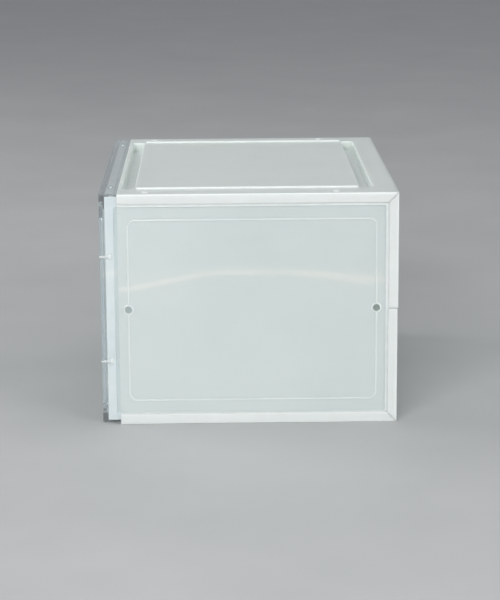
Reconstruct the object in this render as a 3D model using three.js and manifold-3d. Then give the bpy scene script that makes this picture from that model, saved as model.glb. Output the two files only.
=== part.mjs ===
// A stackable shoe box: a milky plastic shell with a clear frame and a clear drop-front door.
// Millimetres, +Z up, the door faces -Y, origin on the floor under the middle of the box.

import * as THREE from 'three';
import { mergeVertices } from 'three/addons/utils/BufferGeometryUtils.js';
import Module from 'manifold-3d';

// ---- Driving dimensions --------------------------------------------------------------------

const WIDTH = 360; // side to side
const DEPTH = 280; // face of the frame to the back of the shell
const HEIGHT = 221.5; // floor to the top face
const GAP = 0.3; // clearance between pieces that touch
const PIERCE = 1; // how far a cutter runs past a face, and a rib starts inside one

// Shell: top and bottom panels with their back flaps.
const WALL = 2; // moulded sheet
const BAND = 9.5; // height of the side bands on the top and bottom panels
const BACK_BAND = 8.8; // depth of the side bands on the back flaps
const RAIL = 1.4; // inner wall of the grooves that hold the side panels
const RAIL_REACH = 9; // depth of those grooves, measured from the outside
const SPLIT_GAP = 1; // slot between the two back flaps at mid height
const BACK_STEP = 0.6; // the lower half of the back stands in by this much

// Top panel: channels, ribs and stacking domes.
const CHANNEL_LENGTH = 300;
const CHANNEL_WIDTH = 12;
const CHANNEL_DEPTH = 9.5;
const FRONT_CHANNEL = 20.5; // from the face of the frame to the near edge of the front channel
const BACK_CHANNEL = 22.5; // from the back to the far edge of the back channel
const RIB_WIDTH = 2.6;
const RIB_HEIGHT = 1.8;
const RIB_END = 1.5; // the ribs stop this far from each channel
const DOME_RADIUS = 3;
const DOME_HEIGHT = 1.5;
const DOME_INSET = 11; // from the sides
const DOME_FRONT = 43; // from the face of the frame
const DOME_BACK = 58; // from the back

// Bottom panel: a foot border round a raised floor, so that a box below can nest its ribs.
const RECESS_SIDE = 27.5; // width of the foot border at the sides
const RECESS_FRONT = 31; // from the face of the frame to the recess
const RECESS_BACK = 31; // from the back to the recess
const DIMPLE_GAP = 0.6; // clearance round a dome in its dimple

// Side panels.
const PANEL = 1.8; // sheet
const RIM = 2.8; // thick edge of the panel
const RIM_SHOWS = 3.2; // width of rim that shows beside the bands
const BEAD_WIDTH = 1.8;
const BEAD_HEIGHT = 0.7;
const BEAD_RADIUS = 7;
const BEAD_FRONT = 26; // from the face of the frame
const BEAD_BACK = 20.5; // from the back
const BEAD_LOW = 22.7; // from the floor
const BEAD_TOP = 25.2; // from the top face
const VENT_RADIUS = 3.6;
const VENT_RING = 1.9; // width of the raised ring round a vent hole

// Clear frame.
const FACE = 5; // thickness of the bars round the doorway
const FLANGE = 16.7; // depth of the frame, bars and flange together
const FRAME_SKIN = 2; // thickness of the flange
const FRAME_LIFT = 2; // the frame hangs this far above the floor
const FRAME_CORNER = 2.5; // radius of its upright front corners
const SIDE_BAR = 8; // width of the bars beside the doorway
const HEAD_BAR = 7.6; // height of the bar over the doorway
const SILL_BAR = 8.2; // height of the bar under the doorway
const STOP_WIDTH = 3.2; // how far the door stop reaches into the doorway
const STOP_DEPTH = 1.5;
const STUD_RADIUS = 2;
const STUD_X = 137;
const STUD_FRONT = 9.5; // from the face of the frame
const STUD_GAP = 0.4; // clearance round a stud or hook in its hole
const HOOK_HEIGHTS = [61.4, 162.4]; // side hooks, from the floor
const HOOK_HEIGHT = 5;
const HOOK_DEPTH = 3;
const HOOK_PROUD = 1.4;
const NUB_RADIUS = 1.5;
const NUB_PROUD = 0.5;
const NUB_INSET = 23; // buffers on the face, from the top face
const NUB_LOW = 32; // and from the floor

// Door, hinge and magnets.
const DOOR_SHEET = 2;
const DOOR_DEEP = 3.2; // depth of the door at its rim
const DOOR_RIM = 3;
const DOOR_HEAD = 12; // height of the thick band that holds the magnets
const DOOR_SIDE_GAP = 0.4; // door to each side bar
const DOOR_HEAD_GAP = 3.8; // finger space over the door
const DOOR_SILL_GAP = 0.4; // door to sill
const DOOR_TOE = 2.5; // slope on the lower front edge, so that it clears the sill
const PIVOT_BACK = 3.3; // hinge axis behind the face of the frame
const PIVOT_RISE = 8; // hinge axis above the door's lower edge
const PIN_RADIUS = 1.1;
const PIN_GAP = 0.12; // radial clearance of the pin
const PIN_SUNK = 0.4; // the pin's end sits this far inside the frame
const LUG_INSET = 0.2; // the round of the hinge lug stays this far behind the door's face
const LUG_WIDTH = 4;
const TAB_WIDTH = 40;
const TAB_HEIGHT = 7;
const TAB_PROUD = 1.5;
const MAGNET_RADIUS = 3;
const MAGNET_DEPTH = 2;
const MAGNET_X = 80;
const MAGNET_DROP = 6; // magnet axis below the door's top edge
const MAGNET_GAP = 0.15; // clearance in the pocket
const MAGNET_CUP = 1.6; // plastic round and behind a magnet

const ROUND = 28; // facets of a full turn

// ---- Places worked out from them -----------------------------------------------------------

const SIDE = WIDTH / 2;
const FRONT = TAB_PROUD / 2 - DEPTH / 2;
const BACK = FRONT + DEPTH;
const LOW_BACK = BACK - BACK_STEP;
const MIDDLE = HEIGHT / 2;

const COVER = Math.max(WALL, FRAME_SKIN);
const PANEL_OUT = SIDE - COVER - GAP;
const PANEL_IN = PANEL_OUT - RIM;
const PANEL_TOP = HEIGHT - COVER - GAP;
const RAIL_OUT = PANEL_IN - GAP;
const RAIL_IN = RAIL_OUT - RAIL;

const BODY_FRONT = FRONT + FACE + GAP;
const SHELL_FRONT = FRONT + FLANGE + GAP;
const TONGUE_TOP = HEIGHT - FRAME_SKIN - GAP;
const FLOOR_RISE = FRAME_LIFT + FRAME_SKIN + GAP;

const CHANNELS = [FRONT + FRONT_CHANNEL, BACK - BACK_CHANNEL - CHANNEL_WIDTH];
const DOMES_Y = [FRONT + DOME_FRONT, BACK - DOME_BACK];
const DOME_X = SIDE - DOME_INSET;

const DOORWAY_X = SIDE - SIDE_BAR;
const DOORWAY_LOW = FRAME_LIFT + SILL_BAR;
const DOORWAY_TOP = HEIGHT - HEAD_BAR;
const DOOR_X = DOORWAY_X - DOOR_SIDE_GAP;
const DOOR_LOW = DOORWAY_LOW + DOOR_SILL_GAP;
const DOOR_TOP = DOORWAY_TOP - DOOR_HEAD_GAP;
const PIVOT_Y = FRONT + PIVOT_BACK;
const PIVOT_Z = DOOR_LOW + PIVOT_RISE;
const BORE_RADIUS = PIN_RADIUS + PIN_GAP;
const LUG_RADIUS = PIVOT_BACK - LUG_INSET;
const STOP_FRONT = FRONT + DOOR_DEEP + GAP;
const MAGNET_Z = DOOR_TOP - MAGNET_DROP;
const POCKET_RADIUS = MAGNET_RADIUS + MAGNET_GAP;
const POCKET_DEPTH = MAGNET_DEPTH + MAGNET_GAP;

// ---- Solids --------------------------------------------------------------------------------

const wasm = await Module();
wasm.setup();

function solid(geometry) {
  geometry.deleteAttribute('normal');
  geometry.deleteAttribute('uv');
  const merged = mergeVertices(geometry, 1e-4);
  const vertProperties = new Float32Array(merged.attributes.position.array);
  const triVerts = new Uint32Array(merged.index.array);
  return new wasm.Manifold(new wasm.Mesh({ numProp: 3, vertProperties, triVerts }));
}

function union(parts) {
  return parts.reduce((whole, part) => whole.add(part));
}

// A box between two values on each axis, given in either order.
function block(xs, ys, zs) {
  const low = [xs, ys, zs].map((range) => Math.min(...range));
  const high = [xs, ys, zs].map((range) => Math.max(...range));
  const geometry = new THREE.BoxGeometry(high[0] - low[0], high[1] - low[1], high[2] - low[2]);
  geometry.translate((low[0] + high[0]) / 2, (low[1] + high[1]) / 2, (low[2] + high[2]) / 2);
  return solid(geometry);
}

// A box across the width of the object, as far as reach on either side of the middle.
function across(reach, ys, zs) {
  return block([-reach, reach], ys, zs);
}

function rodAlongX(radius, xs, y, z) {
  const geometry = new THREE.CylinderGeometry(radius, radius, Math.abs(xs[1] - xs[0]), ROUND);
  geometry.rotateZ(Math.PI / 2);
  geometry.translate((xs[0] + xs[1]) / 2, y, z);
  return solid(geometry);
}

function rodAlongY(radius, x, ys, z) {
  const geometry = new THREE.CylinderGeometry(radius, radius, ys[1] - ys[0], ROUND);
  geometry.translate(x, (ys[0] + ys[1]) / 2, z);
  return solid(geometry);
}

function rodAlongZ(radius, x, y, zs) {
  const geometry = new THREE.CylinderGeometry(radius, radius, zs[1] - zs[0], ROUND);
  geometry.rotateX(Math.PI / 2);
  geometry.translate(x, y, (zs[0] + zs[1]) / 2);
  return solid(geometry);
}

// An outline drawn in Y and Z, pushed along X.
function pushAlongX(outline, xs) {
  const low = Math.min(...xs);
  const depth = Math.max(...xs) - low;
  const geometry = new THREE.ExtrudeGeometry(outline, { depth, bevelEnabled: false, curveSegments: 5 });
  geometry.applyMatrix4(new THREE.Matrix4().set(0, 0, 1, low, 1, 0, 0, 0, 0, 1, 0, 0, 0, 0, 0, 1));
  return solid(geometry);
}

// An outline drawn in X and Z, pushed along Y.
function pushAlongY(outline, ys) {
  const depth = ys[1] - ys[0];
  const geometry = new THREE.ExtrudeGeometry(outline, { depth, bevelEnabled: false, curveSegments: 6 });
  geometry.rotateX(Math.PI / 2);
  geometry.translate(0, ys[1], 0);
  return solid(geometry);
}

// An outline drawn in X and Y, pushed up Z.
function pushAlongZ(outline, zs) {
  const depth = zs[1] - zs[0];
  const geometry = new THREE.ExtrudeGeometry(outline, { depth, bevelEnabled: false, curveSegments: 6 });
  geometry.translate(0, 0, zs[0]);
  return solid(geometry);
}

function rounded(lowU, highU, lowV, highV, radius) {
  const shape = new THREE.Shape();
  shape.moveTo(lowU + radius, lowV);
  shape.lineTo(highU - radius, lowV);
  shape.absarc(highU - radius, lowV + radius, radius, -Math.PI / 2, 0);
  shape.absarc(highU - radius, highV - radius, radius, 0, Math.PI / 2);
  shape.absarc(lowU + radius, highV - radius, radius, Math.PI / 2, Math.PI);
  shape.absarc(lowU + radius, lowV + radius, radius, Math.PI, 1.5 * Math.PI);
  return shape;
}

// Everything past the mitre plane of a back corner, on the side that the normal points to,
// and half of the gap on the near side of that plane.
function pastMitre(cornerY, cornerZ, normalY, normalZ) {
  const size = 3 * (WIDTH + DEPTH);
  const normal = new THREE.Vector3(0, normalY, normalZ).normalize();
  const geometry = new THREE.BoxGeometry(size, size, size);
  geometry.translate(0, 0, (size - GAP) / 2);
  geometry.applyQuaternion(new THREE.Quaternion().setFromUnitVectors(new THREE.Vector3(0, 0, 1), normal));
  geometry.translate(0, cornerY, cornerZ);
  return solid(geometry);
}

// ---- Shell ---------------------------------------------------------------------------------

// The side band and the inner rail that make a groove along one edge of a panel or flap.
function bandAndRail(side, ys, zs, railYs, railZs) {
  return [
    block([side * (SIDE - WALL), side * SIDE], ys, zs),
    block([side * RAIL_IN, side * RAIL_OUT], railYs, railZs),
  ];
}

function topPanel() {
  const parts = [
    across(SIDE, [SHELL_FRONT, BACK], [HEIGHT - WALL, HEIGHT]),
    across(RAIL_OUT, [SHELL_FRONT, SHELL_FRONT + WALL], [TONGUE_TOP - WALL, HEIGHT]),
    across(RAIL_OUT, [BODY_FRONT, SHELL_FRONT + WALL], [TONGUE_TOP - WALL, TONGUE_TOP]),
  ];
  for (const side of [-1, 1]) {
    const bandZs = [HEIGHT - BAND, HEIGHT];
    const railZs = [HEIGHT - RAIL_REACH, HEIGHT];
    parts.push(...bandAndRail(side, [SHELL_FRONT, BACK], bandZs, [BODY_FRONT, BACK], railZs));
  }
  for (const near of CHANNELS) {
    const trayYs = [near - WALL, near + CHANNEL_WIDTH + WALL];
    parts.push(across(CHANNEL_LENGTH / 2 + WALL, trayYs, [HEIGHT - CHANNEL_DEPTH - WALL, HEIGHT]));
  }
  let panel = union(parts);
  panel = panel.subtract(across(WIDTH, [FRONT, SHELL_FRONT], [TONGUE_TOP, HEIGHT + PIERCE]));
  for (const near of CHANNELS) {
    const hollowZs = [HEIGHT - CHANNEL_DEPTH, HEIGHT + PIERCE];
    panel = panel.subtract(across(CHANNEL_LENGTH / 2, [near, near + CHANNEL_WIDTH], hollowZs));
  }
  panel = union([panel, ...topRibs(), ...domes(), ...snapStuds()]);
  return panel.subtract(pastMitre(BACK, HEIGHT, 1, -1));
}

function topRibs() {
  const ribYs = [CHANNELS[0] + CHANNEL_WIDTH + RIB_END, CHANNELS[1] - RIB_END];
  return [-1, 1].map((side) => {
    const outline = new THREE.Shape();
    outline.absellipse(side * CHANNEL_LENGTH / 2, HEIGHT, RIB_WIDTH / 2, RIB_HEIGHT, 0, 2 * Math.PI);
    return pushAlongY(outline, ribYs);
  });
}

// A copy of something at each of the four stacking points.
function atStackingPoints(make) {
  return [-1, 1].flatMap((side) => DOMES_Y.map((y) => make(side * DOME_X, y)));
}

function domes() {
  return atStackingPoints((x, y) => {
    const geometry = new THREE.SphereGeometry(1, 16, 10);
    geometry.scale(DOME_RADIUS, DOME_RADIUS, DOME_HEIGHT);
    geometry.translate(x, y, HEIGHT);
    return solid(geometry);
  });
}

function snapStuds() {
  const zs = [TONGUE_TOP - PIERCE, HEIGHT - STUD_GAP];
  return [-1, 1].map((side) => rodAlongZ(STUD_RADIUS, side * STUD_X, FRONT + STUD_FRONT, zs));
}

function bottomPanel() {
  const recessX = SIDE - RECESS_SIDE;
  const recessYs = [FRONT + RECESS_FRONT, BACK - RECESS_BACK];
  const floorTop = FLOOR_RISE + WALL;
  const parts = [
    across(SIDE, [SHELL_FRONT, LOW_BACK], [0, WALL]),
    across(RAIL_OUT, [SHELL_FRONT, SHELL_FRONT + WALL], [0, floorTop]),
    across(RAIL_OUT, [BODY_FRONT, recessYs[0]], [FLOOR_RISE, floorTop]),
    across(recessX + WALL, [recessYs[0] - WALL, recessYs[1] + WALL], [0, floorTop]),
  ];
  for (const side of [-1, 1]) {
    const railYs = [BODY_FRONT, LOW_BACK];
    parts.push(...bandAndRail(side, [SHELL_FRONT, LOW_BACK], [0, BAND], railYs, [0, RAIL_REACH]));
  }
  const dimpleTop = DOME_HEIGHT + DIMPLE_GAP;
  const dimpleRadius = DOME_RADIUS + DIMPLE_GAP;
  const cupZs = [0, dimpleTop + WALL];
  parts.push(...atStackingPoints((x, y) => rodAlongZ(dimpleRadius + PIERCE, x, y, cupZs)));
  const cuts = atStackingPoints((x, y) => rodAlongZ(dimpleRadius, x, y, [-PIERCE, dimpleTop]));
  cuts.push(across(recessX, recessYs, [-PIERCE, FLOOR_RISE]));
  cuts.push(across(WIDTH, [FRONT, SHELL_FRONT], [-PIERCE, FLOOR_RISE]));
  cuts.push(pastMitre(LOW_BACK, 0, 1, 1));
  return union(parts).subtract(union(cuts));
}

// Half of the back: a sheet, side grooves and a lip along its free edge.
function backFlap(back, hingeZ, freeZ, normalZ) {
  const inward = Math.sign(hingeZ - freeZ);
  const ys = [back - BACK_BAND, back];
  const zs = [freeZ, hingeZ];
  const parts = [
    across(SIDE, [back - WALL, back], zs),
    across(RAIL_OUT, ys, [freeZ, freeZ + inward * WALL]),
  ];
  for (const side of [-1, 1]) {
    parts.push(...bandAndRail(side, ys, zs, ys, zs));
  }
  return union(parts).subtract(pastMitre(back, hingeZ, -1, normalZ));
}

function sidePanel(side) {
  const sheetOut = PANEL_IN + PANEL;
  const ys = [BODY_FRONT, LOW_BACK - WALL - GAP];
  const zs = [WALL + GAP, PANEL_TOP];
  const windowYs = [FRONT + FLANGE - RIM_SHOWS, BACK - BACK_BAND - RIM_SHOWS];
  const windowZs = [BAND + PIERCE, HEIGHT - BAND - RIM_SHOWS];
  const rim = block([side * PANEL_IN, side * PANEL_OUT], ys, zs);
  const field = block([side * sheetOut, side * (PANEL_OUT + PIERCE)], windowYs, windowZs);
  let panel = rim.subtract(field).add(bead(side, sheetOut));
  const ventXs = [side * PANEL_IN, side * (sheetOut + BEAD_HEIGHT)];
  for (const y of [FRONT + BEAD_FRONT, BACK - BEAD_BACK]) {
    panel = panel.add(rodAlongX(VENT_RADIUS + VENT_RING, ventXs, y, MIDDLE));
    panel = panel.subtract(rodAlongX(VENT_RADIUS, [0, side * SIDE], y, MIDDLE));
  }
  // The foot of the panel is stepped up where the frame's flange passes under it.
  const step = block([0, side * SIDE], [FRONT, SHELL_FRONT], [0, FLOOR_RISE]);
  return union([panel.subtract(step), ...sideHooks(side)]);
}

function bead(side, sheetOut) {
  const half = BEAD_WIDTH / 2;
  const ys = [FRONT + BEAD_FRONT, BACK - BEAD_BACK];
  const zs = [BEAD_LOW, HEIGHT - BEAD_TOP];
  const ring = rounded(ys[0] - half, ys[1] + half, zs[0] - half, zs[1] + half, BEAD_RADIUS + half);
  const inside = rounded(ys[0] + half, ys[1] - half, zs[0] + half, zs[1] - half, BEAD_RADIUS - half);
  const xs = [side * PANEL_IN, side * (sheetOut + BEAD_HEIGHT)];
  const hollow = pushAlongX(inside, [side * (PANEL_IN - PIERCE), side * SIDE]);
  return pushAlongX(ring, xs).subtract(hollow);
}

function sideHooks(side) {
  const y = FRONT + STUD_FRONT;
  return HOOK_HEIGHTS.map((z) => {
    const xs = [side * PANEL_IN, side * (PANEL_OUT + HOOK_PROUD)];
    return block(xs, [y - HOOK_DEPTH / 2, y + HOOK_DEPTH / 2], [z - HOOK_HEIGHT / 2, z + HOOK_HEIGHT / 2]);
  });
}

// ---- Clear frame ---------------------------------------------------------------------------

function frontFrame() {
  const zs = [FRAME_LIFT, HEIGHT];
  const barBack = FRONT + FACE;
  const blank = pushAlongZ(frameOutline(), zs);
  const cuts = [
    across(SIDE - FRAME_SKIN, [barBack, FRONT + FLANGE + PIERCE], [zs[0] + FRAME_SKIN, zs[1] - FRAME_SKIN]),
    across(DOORWAY_X, [FRONT - PIERCE, barBack + PIERCE], [DOORWAY_LOW, DOORWAY_TOP]),
  ];
  for (const side of [-1, 1]) {
    cuts.push(rodAlongX(BORE_RADIUS, [side * (DOORWAY_X - PIERCE), side * (SIDE + PIERCE)], PIVOT_Y, PIVOT_Z));
    const studZs = [TONGUE_TOP, HEIGHT + PIERCE];
    cuts.push(rodAlongZ(STUD_RADIUS + STUD_GAP, side * STUD_X, FRONT + STUD_FRONT, studZs));
    cuts.push(...hookWindows(side));
  }
  const frame = union([blank.subtract(union(cuts)), ...doorStops(), ...faceNubs()]);
  return frame.subtract(union(magnetSeats(STOP_FRONT - PIERCE, STOP_FRONT + POCKET_DEPTH)));
}

// Plan of the frame: square at the flange, rounded at the two upright front corners.
function frameOutline() {
  const radius = FRAME_CORNER;
  const shape = new THREE.Shape();
  shape.moveTo(SIDE, FRONT + FLANGE);
  shape.lineTo(-SIDE, FRONT + FLANGE);
  shape.absarc(-SIDE + radius, FRONT + radius, radius, Math.PI, 1.5 * Math.PI);
  shape.absarc(SIDE - radius, FRONT + radius, radius, 1.5 * Math.PI, 2 * Math.PI);
  return shape;
}

function hookWindows(side) {
  const y = FRONT + STUD_FRONT;
  const halfY = HOOK_DEPTH / 2 + STUD_GAP;
  const halfZ = HOOK_HEIGHT / 2 + STUD_GAP;
  const xs = [side * (SIDE - FRAME_SKIN - PIERCE), side * (SIDE + PIERCE)];
  return HOOK_HEIGHTS.map((z) => block(xs, [y - halfY, y + halfY], [z - halfZ, z + halfZ]));
}

// The lip that the shut door rests against, and the cups that hold the frame's magnets.
function doorStops() {
  const ys = [STOP_FRONT, STOP_FRONT + STOP_DEPTH];
  const top = DOORWAY_TOP + PIERCE;
  const sideZs = [PIVOT_Z + LUG_RADIUS + PIVOT_RISE, top];
  const stops = [across(DOORWAY_X + PIERCE, ys, [DOOR_TOP - STOP_WIDTH, top])];
  for (const side of [-1, 1]) {
    stops.push(block([side * (DOORWAY_X - STOP_WIDTH), side * (DOORWAY_X + PIERCE)], ys, sideZs));
    const cupXs = [side * MAGNET_X - POCKET_RADIUS - MAGNET_CUP, side * MAGNET_X + POCKET_RADIUS + MAGNET_CUP];
    const cupYs = [STOP_FRONT, STOP_FRONT + POCKET_DEPTH + MAGNET_CUP];
    stops.push(block(cupXs, cupYs, [MAGNET_Z - POCKET_RADIUS - MAGNET_CUP, top]));
  }
  return stops;
}

// Small buffers on the face of the side bars.
function faceNubs() {
  const x = (SIDE + DOORWAY_X) / 2;
  const ys = [FRONT - NUB_PROUD, FRONT + PIERCE];
  return [-x, x].flatMap((at) => [NUB_LOW, HEIGHT - NUB_INSET].map((z) => rodAlongY(NUB_RADIUS, at, ys, z)));
}

function magnetSeats(low, high) {
  return [-1, 1].map((side) => rodAlongY(POCKET_RADIUS, side * MAGNET_X, [low, high], MAGNET_Z));
}

// ---- Door, pins and magnets ----------------------------------------------------------------

function doorPanel() {
  const slab = across(DOOR_X, [FRONT, FRONT + DOOR_DEEP], [DOOR_LOW, DOOR_TOP]);
  const window = across(
    DOOR_X - DOOR_RIM,
    [FRONT + DOOR_SHEET, FRONT + DOOR_DEEP + PIERCE],
    [DOOR_LOW + DOOR_RIM, DOOR_TOP - DOOR_HEAD],
  );
  const cuts = [window, doorToe()];
  cuts.push(...magnetSeats(FRONT + DOOR_DEEP - POCKET_DEPTH, FRONT + DOOR_DEEP + PIERCE));
  let door = union([slab.subtract(union(cuts)), fingerTab()]);
  for (const side of [-1, 1]) {
    const lugXs = [side * (DOOR_X - LUG_WIDTH), side * DOOR_X];
    const web = block(lugXs, [FRONT + PIERCE, PIVOT_Y], [PIVOT_Z - LUG_RADIUS, PIVOT_Z + LUG_RADIUS]);
    door = union([door, web, rodAlongX(LUG_RADIUS, lugXs, PIVOT_Y, PIVOT_Z)]);
    const boreXs = [side * (DOOR_X - LUG_WIDTH - PIERCE), side * (DOOR_X + PIERCE)];
    door = door.subtract(rodAlongX(BORE_RADIUS, boreXs, PIVOT_Y, PIVOT_Z));
  }
  return door;
}

// What the slope takes off the door's lower front edge.
function doorToe() {
  const outline = new THREE.Shape();
  outline.moveTo(FRONT - PIERCE, DOOR_LOW - PIERCE);
  outline.lineTo(FRONT + DOOR_TOE + PIERCE, DOOR_LOW - PIERCE);
  outline.lineTo(FRONT - PIERCE, DOOR_LOW + DOOR_TOE + PIERCE);
  return pushAlongX(outline, [-SIDE, SIDE]);
}

function fingerTab() {
  const outline = new THREE.Shape();
  outline.moveTo(FRONT + PIERCE, DOOR_TOP);
  outline.lineTo(FRONT - TAB_PROUD, DOOR_TOP);
  outline.lineTo(FRONT - TAB_PROUD, DOOR_TOP - TAB_PROUD);
  outline.lineTo(FRONT, DOOR_TOP - TAB_HEIGHT);
  outline.lineTo(FRONT + PIERCE, DOOR_TOP - TAB_HEIGHT);
  return pushAlongX(outline, [-TAB_WIDTH / 2, TAB_WIDTH / 2]);
}

function hingePin(side) {
  const xs = [side * (DOOR_X - LUG_WIDTH), side * (SIDE - PIN_SUNK)];
  return rodAlongX(PIN_RADIUS, xs, PIVOT_Y, PIVOT_Z);
}

function magnet(side, low) {
  return rodAlongY(MAGNET_RADIUS, side * MAGNET_X, [low, low + MAGNET_DEPTH], MAGNET_Z);
}

// ---- Scene graph ---------------------------------------------------------------------------

function milky() {
  return new THREE.MeshStandardMaterial({ color: 0xdde5e2, roughness: 0.32, metalness: 0 });
}

function clear() {
  const look = { color: 0xd7e2e6, roughness: 0.08, metalness: 0, transparent: true, opacity: 0.35 };
  return new THREE.MeshStandardMaterial(look);
}

function steel() {
  return new THREE.MeshStandardMaterial({ color: 0xb9bcc0, roughness: 0.3, metalness: 1 });
}

// Adds one named piece to a group, with the piece's geometry counted from the group's own place.
function addPiece(group, name, shape, material) {
  const { vertProperties, triVerts } = shape.getMesh();
  const geometry = new THREE.BufferGeometry();
  geometry.setAttribute('position', new THREE.BufferAttribute(vertProperties, 3));
  geometry.setIndex(new THREE.BufferAttribute(triVerts, 1));
  geometry.translate(-group.position.x, -group.position.y, -group.position.z);
  geometry.computeVertexNormals();
  const mesh = new THREE.Mesh(geometry, material);
  mesh.name = name;
  group.add(mesh);
}

function groupAt(parent, y, z) {
  const group = new THREE.Group();
  group.position.set(0, y, z);
  parent.add(group);
  return group;
}

const shoeBox = new THREE.Group();
addPiece(shoeBox, 'top_panel', topPanel(), milky());
addPiece(shoeBox, 'bottom_panel', bottomPanel(), milky());
addPiece(shoeBox, 'side_panel_left', sidePanel(-1), milky());
addPiece(shoeBox, 'side_panel_right', sidePanel(1), milky());
addPiece(shoeBox, 'front_frame', frontFrame(), clear());

const upperHinge = groupAt(shoeBox, BACK, HEIGHT);
const upperFlap = backFlap(BACK, HEIGHT, MIDDLE + SPLIT_GAP / 2, 1);
addPiece(upperHinge, 'back_upper_flap', upperFlap, milky());

const lowerHinge = groupAt(shoeBox, LOW_BACK, 0);
const lowerFlap = backFlap(LOW_BACK, 0, MIDDLE - SPLIT_GAP / 2, -1);
addPiece(lowerHinge, 'back_lower_flap', lowerFlap, milky());

const doorHinge = groupAt(shoeBox, PIVOT_Y, PIVOT_Z);
addPiece(doorHinge, 'door', doorPanel(), clear());

for (const [hand, side] of [['left', -1], ['right', 1]]) {
  addPiece(shoeBox, `hinge_pin_${hand}`, hingePin(side), steel());
  addPiece(shoeBox, `frame_magnet_${hand}`, magnet(side, STOP_FRONT + MAGNET_GAP / 2), steel());
  const doorSeat = FRONT + DOOR_DEEP - POCKET_DEPTH + MAGNET_GAP / 2;
  addPiece(doorHinge, `door_magnet_${hand}`, magnet(side, doorSeat), steel());
}

export default shoeBox;
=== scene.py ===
# %% [markdown]
# # A stackable shoe box of milky plastic with a clear drop-front door
#
# This lesson dresses a working design. The design already has every size, joint and clearance, and it
# is loaded first as a fixed frame. Each later cell makes one moulded piece around that frame, then
# gives it a finish that behaves like the real plastic.

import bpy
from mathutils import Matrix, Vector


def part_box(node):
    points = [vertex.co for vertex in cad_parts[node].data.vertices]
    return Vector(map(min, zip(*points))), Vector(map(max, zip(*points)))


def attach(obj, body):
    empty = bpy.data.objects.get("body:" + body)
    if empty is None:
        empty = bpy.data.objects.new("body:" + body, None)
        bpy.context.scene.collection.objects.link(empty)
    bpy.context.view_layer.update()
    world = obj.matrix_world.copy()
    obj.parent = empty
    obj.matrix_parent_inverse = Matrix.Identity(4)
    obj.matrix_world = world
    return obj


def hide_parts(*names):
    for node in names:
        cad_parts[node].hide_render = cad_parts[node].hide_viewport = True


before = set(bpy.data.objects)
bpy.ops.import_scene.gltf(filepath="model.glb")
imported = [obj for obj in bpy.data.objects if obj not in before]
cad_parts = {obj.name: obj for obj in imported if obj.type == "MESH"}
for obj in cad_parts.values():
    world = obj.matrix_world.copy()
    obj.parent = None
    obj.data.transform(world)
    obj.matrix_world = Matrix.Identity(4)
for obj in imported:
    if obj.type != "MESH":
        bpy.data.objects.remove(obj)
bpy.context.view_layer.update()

# %% [markdown]
# ## Sizes
#
# Everything is in metres, so `MM` turns a drawing's millimetres into the script's own unit. The big
# places are read off the frame's pieces. What follows them is the small stuff that a mould has and a
# working model can leave out: corner radii, draft, and the soft lip of a channel.

# %% Sizes and places
import math

import bmesh
import bpy
from mathutils import Matrix, Vector

MM = 0.001

frame_low, frame_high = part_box("front_frame")
panel_low, panel_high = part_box("side_panel_right")
door_low, door_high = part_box("door")
top_low, top_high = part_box("top_panel")

SIDE = frame_high.x
HEIGHT = frame_high.z
FLANGE_BACK = frame_high.y
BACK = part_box("back_upper_flap")[1].y
LOW_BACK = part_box("back_lower_flap")[1].y
BODY_FRONT = top_low.y
FACE = 5 * MM  # thickness of the bars round the doorway
GAP = 0.3 * MM
FRONT = BODY_FRONT - FACE - GAP
SHELL_FRONT = FLANGE_BACK + GAP
MIDDLE = HEIGHT / 2
WALL = 2 * MM
MITRE_GAP = 0.05 * MM  # the hinge film closes the mitres almost fully
print(f"box {2 * SIDE / MM:.0f} wide, {(BACK - FRONT) / MM:.0f} deep, {HEIGHT / MM:.1f} mm high")

# %% [markdown]
# ## Camera
#
# A product picture of a box is taken from far away with a long lens, because that keeps its uprights
# upright. The camera looks at one side of the box, a little from above, with the door on the left.

# %% Camera
VIEW_PLACE = Vector((2.0651, -0.0300, 0.5437))
VIEW_TURN = math.radians(-0.9447)  # how far round from dead sideways
VIEW_TILT = math.radians(12.663)  # how far down it looks
VIEW_ROLL = math.radians(-0.3666)
LENS = 123.39  # millimetres, on a sensor 36 mm along its long side


def add_camera():
    view = bpy.data.objects.new("camera", bpy.data.cameras.new("camera"))
    bpy.context.scene.collection.objects.link(view)
    view.data.sensor_fit = "VERTICAL"
    view.data.sensor_height = 36
    view.data.lens = LENS
    forward = Vector((
        -math.cos(VIEW_TILT) * math.cos(VIEW_TURN),
        -math.cos(VIEW_TILT) * math.sin(VIEW_TURN),
        -math.sin(VIEW_TILT),
    ))
    right = forward.cross(Vector((0, 0, 1))).normalized()
    up = right.cross(forward)
    turned_right = math.cos(VIEW_ROLL) * right + math.sin(VIEW_ROLL) * up
    turned_up = math.cos(VIEW_ROLL) * up - math.sin(VIEW_ROLL) * right
    place = Matrix((turned_right, turned_up, -forward)).transposed().to_4x4()
    place.translation = VIEW_PLACE
    view.matrix_world = place
    bpy.context.scene.camera = view
    return view


camera = add_camera()
print("camera", [round(value, 3) for value in camera.location], "lens", LENS, "mm")

# %% [markdown]
# ## Outlines with round corners
#
# A moulded part has no truly sharp edge, since plastic would not fill it. One small function therefore
# serves the whole box: it takes the corners of an outline with a radius for each, and returns the
# points with an arc in place of every corner. It works for corners that point in as well as out.

# %% Rounded outlines
ARC_STEPS = 4


def round_edge(radius, steps=ARC_STEPS):
    """The steps of a round edge: how far it has turned in, and how far it still has to go."""
    angles = [math.pi / 2 * step / steps for step in range(steps + 1)]
    return [(radius * (1 - math.cos(angle)), radius * (1 - math.sin(angle))) for angle in angles]


def around(middle, half):
    return middle - half, middle + half


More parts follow.
